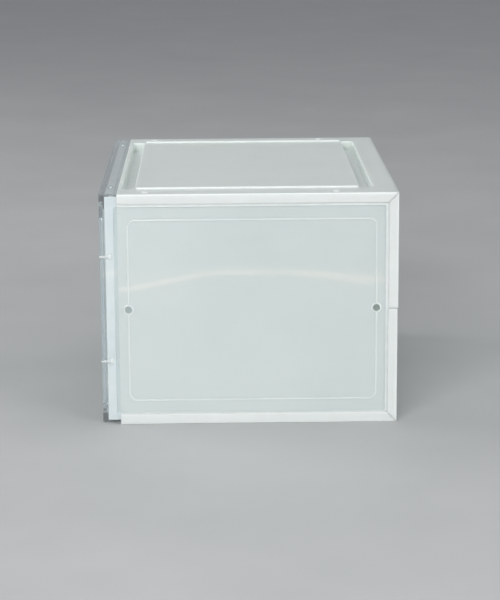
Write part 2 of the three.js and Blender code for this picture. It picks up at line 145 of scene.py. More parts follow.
def rounded_outline(corners):
    """Points of a closed outline. Each corner is (u, v, radius)."""
    points = []
    for index, (u, v, radius) in enumerate(corners):
        here = Vector((u, v))
        to_last = (Vector(corners[index - 1][:2]) - here).normalized()
        to_next = (Vector(corners[(index + 1) % len(corners)][:2]) - here).normalized()
        half = to_last.angle(to_next) / 2
        centre = here + (to_last + to_next).normalized() * (radius / math.sin(half))
        start = here + to_last * (radius / math.tan(half)) - centre
        end = here + to_next * (radius / math.tan(half)) - centre
        first = math.atan2(start.y, start.x)
        turn = (math.atan2(end.y, end.x) - first + math.pi) % (2 * math.pi) - math.pi
        for step in range(ARC_STEPS + 1):
            angle = first + turn * step / ARC_STEPS
            points.append((centre.x + radius * math.cos(angle), centre.y + radius * math.sin(angle)))
    return points


def rounded_rectangle(low, high, radius):
    corners = [(low[0], low[1]), (high[0], low[1]), (high[0], high[1]), (low[0], high[1])]
    return rounded_outline([(u, v, radius) for u, v in corners])


print("a rounded rectangle has", len(rounded_rectangle((0, 0), (1, 1), 0.1)), "points")

# %% [markdown]
# ## From rings to a solid
#
# Many of the pieces are a stack of outlines that all have the same number of points: a tray, a frame
# or a door is then a skin of quads drawn from ring to ring. `skin` caps the two ends. With `closed`
# it joins the last ring to the first instead, which makes a frame with a hole through it.

# %% Skins, joins and cuts
def new_piece(name, bm):
    bmesh.ops.recalc_face_normals(bm, faces=bm.faces)
    mesh = bpy.data.meshes.new(name)
    bm.to_mesh(mesh)
    bm.free()
    piece = bpy.data.objects.new(name, mesh)
    bpy.context.scene.collection.objects.link(piece)
    return piece


def skin(name, rings, closed=False):
    bm = bmesh.new()
    rows = [[bm.verts.new(point) for point in ring] for ring in rings]
    followers = rows[1:] + ([rows[0]] if closed else [])
    for row, following in zip(rows, followers):
        for index in range(len(row)):
            after = (index + 1) % len(row)
            bm.faces.new((row[index], row[after], following[after], following[index]))
    if not closed:
        bm.faces.new(rows[0])
        bm.faces.new(rows[-1])
    return new_piece(name, bm)


def apply_modifiers(piece):
    graph = bpy.context.evaluated_depsgraph_get()
    mesh = bpy.data.meshes.new_from_object(piece.evaluated_get(graph), depsgraph=graph)
    piece.modifiers.clear()
    piece.data = mesh
    return piece


def combine(piece, others, operation):
    """Adds the others to a piece ("UNION") or cuts them out of it ("DIFFERENCE"), and removes them."""
    for other in others:
        change = piece.modifiers.new(operation, "BOOLEAN")
        change.operation = operation
        change.object = other
        change.solver = "MANIFOLD"
        apply_modifiers(piece)
        bpy.data.objects.remove(other)
    return piece


EDGE_WIDTH = 0.45 * MM  # a face narrower than this belongs to a rounded edge
FLAT_ANGLE = math.radians(0.05)  # faces that meet at less than this are one flat face
SHARP_ANGLE = math.radians(40)


def finish_surface(piece, is_thick_or_shaded=None, thick_or_shaded_value=0.6, edge=1):
    """Smooth shading that keeps real edges, and an attribute that says how much each face is lightened.

    A milky plastic is palest where it is thick or worn. The attribute also paints light: it lifts the
    shade in recesses and paints a highlight on rounded edges. It is 0 on a thin sheet, the given value on
    the faces that the given test picks out, and edge on the narrow faces of a rounded edge.
    """
    bm = bmesh.new()
    bm.from_mesh(piece.data)
    bmesh.ops.dissolve_limit(bm, angle_limit=FLAT_ANGLE, verts=bm.verts, edges=bm.edges)
    bm.normal_update()
    wear_and_painted_light = bm.faces.layers.float.new("wear_and_painted_light")
    for face in bm.faces:
        face.smooth = True
        # Narrow faces of a rounded edge are lightened for wear and as a painted highlight; the picked faces
        # for thick plastic and as painted light that lifts the shade in recesses.
        if 2 * face.calc_area() / face.calc_perimeter() < EDGE_WIDTH:
            face[wear_and_painted_light] = edge
        elif is_thick_or_shaded is not None and is_thick_or_shaded(face):
            face[wear_and_painted_light] = thick_or_shaded_value
    bm.to_mesh(piece.data)
    bm.free()
    piece.data.set_sharp_from_angle(angle=SHARP_ANGLE)
    weighting = piece.modifiers.new("flat faces", "WEIGHTED_NORMAL")
    weighting.keep_sharp = True
    weighting.weight = 100
    return apply_modifiers(piece)


print("helpers ready: skin, combine, finish_surface")

# %% [markdown]
# ## Rounded blocks and rods
#
# The small features that join onto the sheets are blocks and rods with softened rims. A block is a
# stack of rounded rectangles; a rod is turned, like work in a lathe, from a short profile. A hole is
# cut with the same two shapes.

# %% Rounded blocks and rods
AXES = {"X": Matrix(((0, 0, 1), (1, 0, 0), (0, 1, 0))), "Y": Matrix(((0, 1, 0), (0, 0, 1), (1, 0, 0))),
        "Z": Matrix.Identity(3)}
ROD_SIDES = 48
LEAST_RADIUS = 0.05 * MM


def rounded_block(name, low, high, radius=0.4 * MM, edge=0.3 * MM):
    """A block with rounded uprights (radius) and softened top and bottom rims (edge)."""
    rings = []
    for z, inset in ((low[2], edge), (low[2] + edge, 0), (high[2] - edge, 0), (high[2], edge)):
        outline = rounded_rectangle((low[0] + inset, low[1] + inset), (high[0] - inset, high[1] - inset),
                                    max(radius - inset, LEAST_RADIUS))
        rings.append([(x, y, z) for x, y in outline])
    return skin(name, rings)


def turned(name, profile, centre, axis):
    """A solid turned about an axis. The profile is (distance along the axis, radius) from end to end."""
    rings = []
    for along, radius in profile:
        ring = []
        for side in range(ROD_SIDES):
            angle = 2 * math.pi * side / ROD_SIDES
            point = Vector((radius * math.cos(angle), radius * math.sin(angle), along))
            ring.append(Vector(centre) + AXES[axis] @ point)
        rings.append(ring)
    return skin(name, rings)


def rod(name, radius, span, centre, axis, rim=0.2 * MM):
    start, end = span
    profile = [(start, radius - rim), (start + rim, radius), (end - rim, radius), (end, radius - rim)]
    return turned(name, profile, centre, axis)


print("rods have", ROD_SIDES, "sides")

# %% [markdown]
# ## The milky finish
#
# Polypropylene is naturally milky: light enters, scatters and comes out nearby, so edges glow and
# nothing looks hard. Subsurface scattering gives that. The colour drifts very slightly, as the melt
# never mixes perfectly. A moulded sheet is also never quite flat or quite even in gloss, so a broad
# soft bump bends the reflections and a fine one gives the satin grain. The shell is matt. The side
# panels are glossy, and their thin sheet is a little darker.
# Faces marked by an attribute are lightened: thick plastic and worn edges, and also painted light, which
# lifts the shade in the channels and on the rims under the bands and paints a highlight on rounded edges.

# %% Milky plastic
def add_node(tree, kind, inputs, **settings):
    """Adds a node. inputs maps each socket's name to a value, or to the output that feeds it."""
    node = tree.nodes.new(kind)
    for name, value in settings.items():
        setattr(node, name, value)
    for name, value in inputs.items():
        if isinstance(value, bpy.types.NodeSocket):
            tree.links.new(value, node.inputs[name])
        else:
            node.inputs[name].default_value = value
    return node.outputs


def new_material(name):
    """A material, its node tree, and the place of a point in its piece's own space."""
    material = bpy.data.materials.new(name)
    material.use_nodes = True
    tree = material.node_tree
    tree.nodes.clear()
    return material, tree, add_node(tree, "ShaderNodeTexCoord", {})["Object"]


def end_material(tree, inputs):
    """Ends a material in one plain shader with these inputs."""
    shader = add_node(tree, "ShaderNodeBsdfPrincipled", inputs)["BSDF"]
    add_node(tree, "ShaderNodeOutputMaterial", {"Surface": shader})


def noise(tree, place, scale, detail=2.0, roughness=0.5):
    inputs = {"Vector": place, "Scale": scale, "Detail": detail, "Roughness": roughness}
    return add_node(tree, "ShaderNodeTexNoise", inputs)["Fac"]


def spread(tree, value, low, high):
    """Maps the middle of a noise to the range from low to high."""
    inputs = {"Value": value, "From Min": 0.3, "From Max": 0.7, "To Min": low, "To Max": high}
    return add_node(tree, "ShaderNodeMapRange", inputs)["Result"]


def bump(tree, height, distance, under=None):
    inputs = {"Height": height, "Distance": distance}
    if under is not None:
        inputs["Normal"] = under
    return add_node(tree, "ShaderNodeBump", inputs)["Normal"]


def colour_between(tree, factor, first, second):
    """first is a colour or another node's output; second is a colour."""
    if not isinstance(first, bpy.types.NodeSocket):
        first = (*first, 1)
    inputs = {"Factor": factor, "A": first, "B": (*second, 1)}
    return add_node(tree, "ShaderNodeMix", inputs, data_type="RGBA")["Result"]


def wear_and_painted_light_mask(tree, place, share):
    """0 on a thin sheet, up to share where the plastic is thick or worn and where it is lightened as painted
    light, broken up by a noise.
    """
    mark = add_node(tree, "ShaderNodeAttribute", {}, attribute_name="wear_and_painted_light")
    patches = spread(tree, noise(tree, place, 90.0, 3.0), 0.7 * share, share)
    return add_node(tree, "ShaderNodeMath", {0: mark["Fac"], 1: patches}, operation="MULTIPLY")[0]


# The colour that faces lighten towards: for thick plastic and wear, and as painted light in shaded recesses
# and as painted highlights on edges.
WORN_AND_LIT_COLOUR = (0.93, 0.96, 0.95)
GLOW_DEPTH = 5 * MM  # about how far light wanders in the plastic


def milky_plastic(name, cloudy, clean, wear_and_light_share, rough, wave, grain):
    """cloudy and clean are the ends of the colour's drift, rough the least and most roughness."""
    material, tree, place = new_material(name)
    body = colour_between(tree, spread(tree, noise(tree, place, 9.0, 3.0), 0, 1), cloudy, clean)
    waves = bump(tree, noise(tree, place, 6.0, 0.0), wave)
    # The colour is lightened by the face attribute, for wear and thick plastic and as painted light.
    end_material(tree, {
        "Base Color": colour_between(tree, wear_and_painted_light_mask(tree, place, wear_and_light_share), body, WORN_AND_LIT_COLOUR),
        "Roughness": spread(tree, noise(tree, place, 22.0, 2.0), *rough),
        "Normal": bump(tree, noise(tree, place, 1800.0, 2.0), grain, waves), "IOR": 1.49,
        "Subsurface Weight": 1.0, "Subsurface Radius": (1.0, 1.0, 0.95), "Subsurface Scale": GLOW_DEPTH,
    })
    return material


MILKY_SHELL = milky_plastic("milky_shell", (0.715, 0.79, 0.743), (0.755, 0.82, 0.778), 0.45, (0.30, 0.37),
                            0.15 * MM, 0.004 * MM)
MILKY_PANEL = milky_plastic("milky_panel", (0.58, 0.64, 0.63), (0.61, 0.665, 0.655), 0.60, (0.03, 0.06),
                            4.0 * MM, 0.0006 * MM)
print("made", MILKY_SHELL.name, "and", MILKY_PANEL.name)

# %% [markdown]
# ## The clear finish
#
# The frame and the door are clear polystyrene, a brittle, glassy plastic. It is nearly colourless
# through its thin way and faintly blue through its long way, so its edges look cool. Broad, shallow
# ripples left by the mould keep the reflections from looking like window glass. The refractive index is
# lower than the plastic's own, because light caught in the length of a bar would turn the bar black.

# %% Clear plastic
CLEAR_INDEX = 1.33
CLEARNESS = 0.92  # the rest is haze


def clear_plastic(name, tint, ripple):
    material, tree, place = new_material(name)
    haze = spread(tree, noise(tree, place, 60.0, 3.0), 0.02, 0.07)
    worn = add_node(tree, "ShaderNodeMath", {0: haze, 1: wear_and_painted_light_mask(tree, place, 0.16)}, operation="ADD")
    drift = spread(tree, noise(tree, place, 12.0), 0, 1)
    paler = tuple(0.5 + value / 2 for value in tint)
    shader = add_node(tree, "ShaderNodeBsdfPrincipled", {
        "Base Color": colour_between(tree, drift, tint, paler), "Roughness": worn[0], "IOR": CLEAR_INDEX,
        "Transmission Weight": CLEARNESS, "Normal": bump(tree, noise(tree, place, 14.0, 1.0), ripple),
    })
    # Light on its way to or from a matt surface behind is dimmed by the plastic, not stopped by it.
    through = add_node(tree, "ShaderNodeBsdfTransparent", {"Color": (0.93, 0.94, 0.945, 1)})
    path = add_node(tree, "ShaderNodeLightPath", {})
    seen = shader["BSDF"]
    for kind in ("Is Diffuse Ray", "Is Shadow Ray"):
        seen = add_node(tree, "ShaderNodeMixShader", {"Fac": path[kind], 1: seen, 2: through["BSDF"]})[0]
    add_node(tree, "ShaderNodeOutputMaterial", {"Surface": seen})
    return material


CLEAR_FRAME = clear_plastic("clear_frame", (0.84, 0.895, 0.92), 0.008 * MM)
CLEAR_DOOR = clear_plastic("clear_door", (0.79, 0.87, 0.93), 0.02 * MM)
print("made", CLEAR_FRAME.name, "and", CLEAR_DOOR.name)

# %% [markdown]
# ## Steel and nickel
#
# The hinge pins are cut from drawn wire, so their surface has fine lines along its length. The magnets
# are nickel plated: brighter, smoother, with a slight yellow cast and a little pitting.

# %% Metals
def bare_metal(name, dark, light, roughness, grain, stretch):
    material, tree, place = new_material(name)
    stretched = add_node(tree, "ShaderNodeMapping", {"Vector": place, "Scale": stretch})
    lines = noise(tree, stretched["Vector"], 2500.0, 3.0)
    end_material(tree, {
        "Base Color": colour_between(tree, lines, dark, light), "Metallic": 1.0,
        "Roughness": spread(tree, lines, roughness - 0.06, roughness + 0.1),
        "Normal": bump(tree, lines, grain),
    })
    return material


PIN_STEEL = bare_metal("pin_steel", (0.50, 0.51, 0.52), (0.68, 0.68, 0.69), 0.26, 0.006 * MM, (0.05, 1, 1))
MAGNET_PLATING = bare_metal("magnet_plating", (0.58, 0.57, 0.55), (0.72, 0.71, 0.68), 0.18, 0.004 * MM,
                            (1, 1, 1))
print("made", PIN_STEEL.name, "and", MAGNET_PLATING.name)


def place_piece(piece, body, material, node):
    """The last step of every piece: its finish, the body it rides on and the node it stands for."""
    piece.data.materials.clear()
    piece.data.materials.append(material)
    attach(piece, body)
    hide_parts(node)
    print(f"{piece.name}: {len(piece.data.polygons)} faces on {body}")
    return piece


# %% [markdown]
# ## Raised lines, ribs and bumps by rule
#
# A moulded box repeats a few small shapes: a raised line that runs round a field, and bumps that are
# either round or drawn out into ribs. Both follow a rule, so each gets one Geometry Nodes tree with
# its sizes as named inputs. The result is turned into a plain mesh, so nothing stays live.

# %% Trees and their use
SAME_PLACE = 0.01 * MM  # points closer than this are one point


def new_tree(name, inputs):
    """A tree with one geometry output. inputs is a list of (label, socket kind)."""
    tree = bpy.data.node_groups.new(name, "GeometryNodeTree")
    tree.interface.new_socket("Geometry", in_out="OUTPUT", socket_type="NodeSocketGeometry")
    for label, kind in inputs:
        tree.interface.new_socket(label, in_out="INPUT", socket_type=f"NodeSocket{kind}")
    return tree, tree.nodes.new("NodeGroupInput").outputs, tree.nodes.new("NodeGroupOutput")


def at_corners(tree, across, along, shape):
    """Stands a shape at the corners of a grid. Corners in the same place count once."""
    grid = add_node(tree, "GeometryNodeMeshGrid",
                    {"Size X": across, "Size Y": along, "Vertices X": 2, "Vertices Y": 2})
    corners = add_node(tree, "GeometryNodeMergeByDistance", {"Geometry": grid[0], "Distance": SAME_PLACE})
    placed = add_node(tree, "GeometryNodeInstanceOnPoints", {"Points": corners[0], "Instance": shape[0]})
    return add_node(tree, "GeometryNodeRealizeInstances", {"Geometry": placed[0]})


def end_tree(tree, geometry, material, group_output):
    finished = add_node(tree, "GeometryNodeSetMaterial", {"Geometry": geometry, "Material": material})
    tree.links.new(finished[0], group_output.inputs[0])


def grow_from_tree(name, tree, values):
    """Runs a tree with these values and keeps only the plain mesh that it makes."""
    piece = bpy.data.objects.new(name, bpy.data.meshes.new(name))
    bpy.context.scene.collection.objects.link(piece)
    modifier = piece.modifiers.new("tree", "NODES")
    modifier.node_group = tree
    for item in tree.interface.items_tree:
        if item.in_out == "INPUT":
            modifier[item.identifier] = values[item.name]
    return apply_modifiers(piece)


print("ready to build trees")

# %% [markdown]
# ### Raised line
#
# The line is a rounded rectangle with an oval swept along it. It is drawn flat, turned so that it
# stands against a side of the box, and mirrored for the other side. With its corners as round as they
# can be, the same line is a ring, and two rings can stand some way apart. That makes the raised
# collars of the vent holes.

# %% Tree for a raised line
def raised_line_tree():
    tree, given, output = new_tree("raised_line", [
        ("Length", "Float"), ("Height", "Float"), ("Corner", "Float"), ("Line Width", "Float"),
        ("Line Height", "Float"), ("Apart", "Float"), ("Middle", "Vector"), ("Material", "Material"),
    ])
    box = add_node(tree, "GeometryNodeCurvePrimitiveQuadrilateral",
                   {"Width": given["Length"], "Height": given["Height"]})
    round_box = add_node(tree, "GeometryNodeFilletCurve",
                         {"Curve": box[0], "Radius": given["Corner"], "Count": 12}, mode="POLY")
    half_width = add_node(tree, "ShaderNodeMath", {0: given["Line Width"], 1: 0.5}, operation="MULTIPLY")
    scale = add_node(tree, "ShaderNodeCombineXYZ", {"X": half_width[0], "Y": given["Line Height"], "Z": 1.0})
    circle = add_node(tree, "GeometryNodeCurvePrimitiveCircle", {"Resolution": 16, "Radius": 1.0})
    oval = add_node(tree, "GeometryNodeTransform", {"Geometry": circle[0], "Scale": scale[0]})
    line = add_node(tree, "GeometryNodeCurveToMesh", {"Curve": round_box[0], "Profile Curve": oval[0]})
    plain = at_corners(tree, given["Apart"], 0.0, line)
    upright = add_node(tree, "GeometryNodeTransform", {
        "Geometry": plain[0], "Rotation": (math.pi / 2, 0, math.pi / 2), "Translation": given["Middle"]})
    mirrored = add_node(tree, "GeometryNodeTransform", {"Geometry": upright[0], "Scale": (-1, 1, 1)})
    outward = add_node(tree, "GeometryNodeFlipFaces", {"Mesh": mirrored[0]})
    both = tree.nodes.new("GeometryNodeJoinGeometry")
    tree.links.new(upright[0], both.inputs[0])
    tree.links.new(outward[0], both.inputs[0])
    end_tree(tree, both.outputs[0], given["Material"], output)
    return tree


RAISED_LINE = raised_line_tree()
print("tree", RAISED_LINE.name, "has", len(RAISED_LINE.nodes), "nodes")

# %% [markdown]
# ### Bumps
#
# A dome is a flattened ball, and a rib is what a sheet of film would make if it were stretched tightly
# over two of them: their convex hull. So one tree makes both, and a length of zero gives a dome. The
# bumps stand at the corners of a grid, which is where a pair of ribs or four stacking domes go.

# %% Tree for bumps
def bumps_tree():
    tree, given, output = new_tree("bumps", [
        ("Across", "Float"), ("Along", "Float"), ("Radius", "Float"), ("Height", "Float"),
        ("Length", "Float"), ("Turn", "Vector"), ("Middle", "Vector"), ("Material", "Material"),
    ])
    ball = add_node(tree, "GeometryNodeMeshUVSphere", {"Segments": 24, "Rings": 14, "Radius": 1.0})
    size = add_node(tree, "ShaderNodeCombineXYZ",
                    {"X": given["Radius"], "Y": given["Radius"], "Z": given["Height"]})
    dome = add_node(tree, "GeometryNodeTransform", {"Geometry": ball[0], "Scale": size[0]})
    two = at_corners(tree, 0.0, given["Length"], dome)
    bump_shape = add_node(tree, "GeometryNodeConvexHull", {"Geometry": two[0]})
    placed = at_corners(tree, given["Across"], given["Along"], bump_shape)
    turned_over = add_node(tree, "GeometryNodeTransform", {
        "Geometry": placed[0], "Rotation": given["Turn"], "Translation": given["Middle"]})
    end_tree(tree, turned_over[0], given["Material"], output)
    return tree


BUMPS = bumps_tree()
print("tree", BUMPS.name, "has", len(BUMPS.nodes), "nodes")


def bumps(name, across, along, radius, height, middle, length=0.0, turn=(0, 0, 0), material=MILKY_SHELL):
    return grow_from_tree(name, BUMPS, {
        "Across": across, "Along": along, "Radius": radius, "Height": height, "Length": length,
        "Turn": turn, "Middle": middle, "Material": material,
    })


# %% [markdown]
# ## Panels that fold
#
# The shell is moulded flat and folded. Top, bottom and both halves of the back are therefore the same
# section, swept in four places: a sheet, a band turned in at each side, and a rail inside each band.
# The rail and the band make the groove that holds a side panel. Where two panels meet, each is cut at
# 45 degrees. The cut is simply the sweep's last ring, whose points stop short by their own depth.

# %% The swept section
BAND = 9.5 * MM
BACK_BAND = 8.8 * MM
RAIL_REACH = 9 * MM
PANEL_IN = panel_low.x
RAIL_OUT = PANEL_IN - GAP
RAIL_IN = RAIL_OUT - 1.4 * MM
SOFT = 0.25 * MM  # rounding at the end of a sweep


def panel_section(band, rail_reach):
    """Half width by depth below the outer face. The face's own edges get the largest radius."""
    side = [
        (SIDE, 0, 1.0 * MM),
        (SIDE, band, 0.7 * MM),
        (SIDE - WALL, band, 0.4 * MM),
        (SIDE - WALL, WALL, 0.3 * MM),
        (RAIL_OUT, WALL, 0.3 * MM),
        (RAIL_OUT, rail_reach, 0.3 * MM),
        (RAIL_IN, rail_reach, 0.3 * MM),
        (RAIL_IN, WALL, 0.6 * MM),
    ]
    return rounded_outline(side + [(-x, depth, radius) for x, depth, radius in reversed(side)])


def drawn_in(points, amount):
    """The section moved in by an amount, for a softened end."""
    inner = []
    for index, point in enumerate(points):
        along = (Vector(points[(index + 1) % len(points)]) - Vector(points[index - 1])).normalized()
        inner.append(Vector(point) + Vector((-along.y, along.x)) * amount)
    return inner


def swept_panel(name, section, start, corner, place):
    """place(x, depth, along) gives a point. The far end is mitred towards the corner."""
    way = 1 if corner > start else -1
    inner = drawn_in(section, SOFT)
    rings = [
        [place(x, depth, start) for x, depth in inner],
        [place(x, depth, start + way * SOFT) for x, depth in section],
        [place(x, depth, corner - way * (MITRE_GAP + depth + SOFT)) for x, depth in section],
        [place(x, depth, corner - way * (MITRE_GAP + depth)) for x, depth in inner],
    ]
    return skin(name, rings)


def on_band(face):
    return abs(face.normal.x) > 0.9 and abs(face.calc_center_median().x) > SIDE - 0.5 * WALL


top_panel = swept_panel("top_panel_shell", panel_section(BAND, RAIL_REACH), SHELL_FRONT, BACK,
                        lambda x, depth, along: (x, along, HEIGHT - depth))
print("top panel sweep:", len(top_panel.data.polygons), "faces")

# %% [markdown]
# ### Channels and tongue of the top panel
#
# Two deep channels run from side to side. Each is a tray below the sheet, hollowed by a cutter that is
# wider at its mouth, so that the cut leaves a soft lip. The walls lean a little, because a mould has to
# come out again. The tongue at the front runs under the clear frame's flange, and its two studs snap
# into holes there, flush with the face.

# %% Channels, tongue and studs
CHANNEL_REACH = 150 * MM
CHANNEL_WIDTH = 12 * MM
CHANNEL_DEPTH = 9.5 * MM
CHANNELS = [FRONT + 20.5 * MM, BACK - 34.5 * MM]
LIP = 0.9 * MM
FLOOR_FILLET = 1.4 * MM
DRAFT = 0.3 * MM
POCKET_CORNER = 3 * MM
FRAME_SKIN = 2 * MM
TONGUE_TOP = HEIGHT - FRAME_SKIN - GAP
STUD_X = 137 * MM
STUD_Y = FRONT + 9.5 * MM
STUD_RADIUS = 2 * MM
STUD_ROUND = 0.7 * MM
TONGUE_Y = (BODY_FRONT, SHELL_FRONT + WALL)
FRONT_WALL_Y = (SHELL_FRONT + 0.02 * MM, SHELL_FRONT + WALL)  # starts just behind the sheet's end
TRAY_EDGE = 0.8 * MM
TOP_JOIN = HEIGHT - WALL / 2  # what stands under the sheet starts in the middle of it


def pocket_cutter(low, high, face_z, depth, up=1):
    """A pocket with a flared lip, leaning walls and a filleted floor. up is the way its mouth faces."""
    profile = [(MM, LIP), (0.0, LIP)]
    for fallen, flare in round_edge(LIP, 5)[1:]:
        profile.append((-fallen, flare))
    for narrowed, rise in round_edge(FLOOR_FILLET, 5):
        profile.append((rise - depth, -DRAFT - narrowed))
    rings = []
    for drop, grow in profile:
        outline = rounded_rectangle((low[0] - grow, low[1] - grow), (high[0] + grow, high[1] + grow),
                                    POCKET_CORNER + grow)
        rings.append([(x, y, face_z + up * drop) for x, y in outline])
    return skin("pocket", rings)


def spanning_block(reach, ys, zs, radius=0.3 * MM, edge=0.2 * MM):
    return rounded_block("block", (-reach, ys[0], zs[0]), (reach, ys[1], zs[1]), radius, edge)


def side_block(side, xs, ys, zs, radius=0.3 * MM, edge=0.2 * MM):
    """A block on one side of the box. xs are distances from the middle."""
    low_x, high_x = sorted((side * xs[0], side * xs[1]))
    return rounded_block("block", (low_x, ys[0], zs[0]), (high_x, ys[1], zs[1]), radius, edge)


top_parts = [
    spanning_block(RAIL_OUT, TONGUE_Y, (TONGUE_TOP - WALL, TONGUE_TOP)),
    spanning_block(RAIL_OUT, FRONT_WALL_Y, (TONGUE_TOP - WALL, TOP_JOIN)),
]
top_cuts = []
for near in CHANNELS:
    far = near + CHANNEL_WIDTH
    top_parts.append(spanning_block(CHANNEL_REACH + WALL, (near - WALL, far + WALL),
                                    (HEIGHT - CHANNEL_DEPTH - WALL, TOP_JOIN), POCKET_CORNER, TRAY_EDGE))
    top_cuts.append(pocket_cutter((-CHANNEL_REACH, near), (CHANNEL_REACH, far), HEIGHT, CHANNEL_DEPTH))
for side in (-1, 1):
    top_parts.append(side_block(side, (RAIL_IN, RAIL_OUT), TONGUE_Y,
                                (HEIGHT - RAIL_REACH, TONGUE_TOP - WALL / 2)))
    top_parts.append(rod("stud", STUD_RADIUS, (TONGUE_TOP - WALL / 2, HEIGHT),
                         (side * STUD_X, STUD_Y, 0), "Z", STUD_ROUND))
combine(top_panel, top_parts, "UNION")
combine(top_panel, top_cuts, "DIFFERENCE")
print("top panel with channels:", len(top_panel.data.polygons), "faces")

# %% [markdown]
# ### Ribs and stacking domes
#
# Between the channels, a low rib runs along each side of the field, and four domes stand outside the
# ribs. They sink into dimples under the next box in a stack. All of them start below the face, as they
# do in a mould, where they are one with the sheet.

# %% Ribs and domes
RIB_RADIUS = 1.3 * MM
RIB_HEIGHT = top_high.z - HEIGHT
RIB_FRONT = CHANNELS[0] + CHANNEL_WIDTH + 1.5 * MM
RIB_BACK = CHANNELS[1] - 1.5 * MM
DOME_X = SIDE - 11 * MM
DOMES_Y = (FRONT + 43 * MM, BACK - 58 * MM)
DOME_RADIUS = 3.5 * MM
DOME_HEIGHT = 1.1 * MM

ribs = bumps("ribs", 2 * CHANNEL_REACH, 0.0, RIB_RADIUS, RIB_HEIGHT, (0, (RIB_FRONT + RIB_BACK) / 2, HEIGHT),
             length=RIB_BACK - RIB_FRONT - 2 * RIB_RADIUS)
domes = bumps("domes", 2 * DOME_X, DOMES_Y[1] - DOMES_Y[0], DOME_RADIUS, DOME_HEIGHT,
              (0, sum(DOMES_Y) / 2, HEIGHT))
combine(top_panel, [ribs, domes], "UNION")


def in_channel(face):
    """True on a channel's floor and walls, which are lightened as painted light to lift the shade that falls
    in the channel.
    """
    middle = face.calc_center_median()
    return (HEIGHT - CHANNEL_DEPTH - 0.1 * MM < middle.z < HEIGHT - LIP / 2
            and abs(middle.x) < CHANNEL_REACH + MM
            and any(near - MM < middle.y < near + CHANNEL_WIDTH + MM for near in CHANNELS))


# The bands are lightened as thick plastic; the channels as painted light that lifts their shade.
finish_surface(top_panel, lambda face: on_band(face) or in_channel(face))
place_piece(top_panel, "shell", MILKY_SHELL, "top_panel")

# %% [markdown]
# ## The bottom panel
#
# The bottom is the same sweep turned over. A border round its edge is the foot. Inside the border the
# floor is raised, so that a box below has room for its ribs, and four dimples take its domes. At the
# front the floor steps up over the clear frame's flange.

# %% Bottom panel
FLOOR_RISE = 4.3 * MM
RECESS_X = SIDE - 27.5 * MM
RECESS_Y = (FRONT + 31 * MM, BACK - 31 * MM)
DIMPLE_RADIUS = DOME_RADIUS + 0.3 * MM
DIMPLE_DEPTH = DOME_HEIGHT + MM
DIMPLE_ROUND = 0.8 * MM
CUP_WALL = MM
CUP_EDGE = 0.5 * MM

bottom_panel = swept_panel("bottom_panel_shell", panel_section(BAND, RAIL_REACH), SHELL_FRONT, LOW_BACK,
                           lambda x, depth, along: (x, along, depth))
floor_top = FLOOR_RISE + WALL
bottom_parts = [
    spanning_block(RAIL_OUT, FRONT_WALL_Y, (WALL / 2, floor_top)),
    spanning_block(RAIL_OUT, (BODY_FRONT, RECESS_Y[0]), (FLOOR_RISE, floor_top)),
    spanning_block(RECESS_X + WALL, (RECESS_Y[0] - WALL, RECESS_Y[1] + WALL), (WALL / 2, floor_top),
                   POCKET_CORNER),
]
bottom_cuts = [pocket_cutter((-RECESS_X, RECESS_Y[0]), (RECESS_X, RECESS_Y[1]), 0, FLOOR_RISE, -1)]
for side in (-1, 1):
    bottom_parts.append(side_block(side, (RAIL_IN, RAIL_OUT), TONGUE_Y, (FLOOR_RISE + WALL / 2, RAIL_REACH)))
    for y in DOMES_Y:
        centre = (side * DOME_X, y, 0)
        bottom_parts.append(rod("cup", DIMPLE_RADIUS + CUP_WALL, (WALL / 2, DIMPLE_DEPTH + WALL), centre, "Z",
                                CUP_EDGE))
        bottom_cuts.append(rod("dimple", DIMPLE_RADIUS, (-MM, DIMPLE_DEPTH), centre, "Z", DIMPLE_ROUND))
combine(bottom_panel, bottom_parts, "UNION")
combine(bottom_panel, bottom_cuts, "DIFFERENCE")
finish_surface(bottom_panel, on_band)
place_piece(bottom_panel, "shell", MILKY_SHELL, "bottom_panel")

# %% [markdown]
# ## The two halves of the back
#
# Each half hangs on a hinge of thin plastic along its outer edge, and folds out flat. Where the halves
# meet at mid height, each has a lip across its free edge that stiffens it. The lower half stands in a
# little, so that the upper one laps in front of it when seen from above.

# %% Back flaps
SPLIT_GAP = 0.6 * MM


def back_flap(name, back, hinge_z, free_z, body, node):
    flap = swept_panel(name, panel_section(BACK_BAND, BACK_BAND), free_z, hinge_z,
                       lambda x, depth, along: (x, back - depth, along))
    inward = 1 if hinge_z > free_z else -1
    low_z, high_z = sorted((free_z, free_z + inward * WALL))
    lip = spanning_block(RAIL_OUT, (back - BACK_BAND, back - WALL / 2), (low_z, high_z), 0.6 * MM, 0.3 * MM)
    combine(flap, [lip], "UNION")
    finish_surface(flap, on_band)
    return place_piece(flap, body, MILKY_SHELL, node)


back_flap("upper_flap", BACK, HEIGHT, MIDDLE + SPLIT_GAP / 2, "upper_flap", "back_upper_flap")
back_flap("lower_flap", LOW_BACK, 0, MIDDLE - SPLIT_GAP / 2, "lower_flap", "back_lower_flap")

# %% [markdown]
# ## The side panels
#
# A side panel is a thin sheet in a thicker rim, slid into the grooves of the shell. The step between
# rim and sheet is the last few rings of one skin. At the front edge two hooks reach through windows in
# the clear frame, each with an arm that runs forward in a slot. The foot is stepped up where the
# frame's flange passes under it.

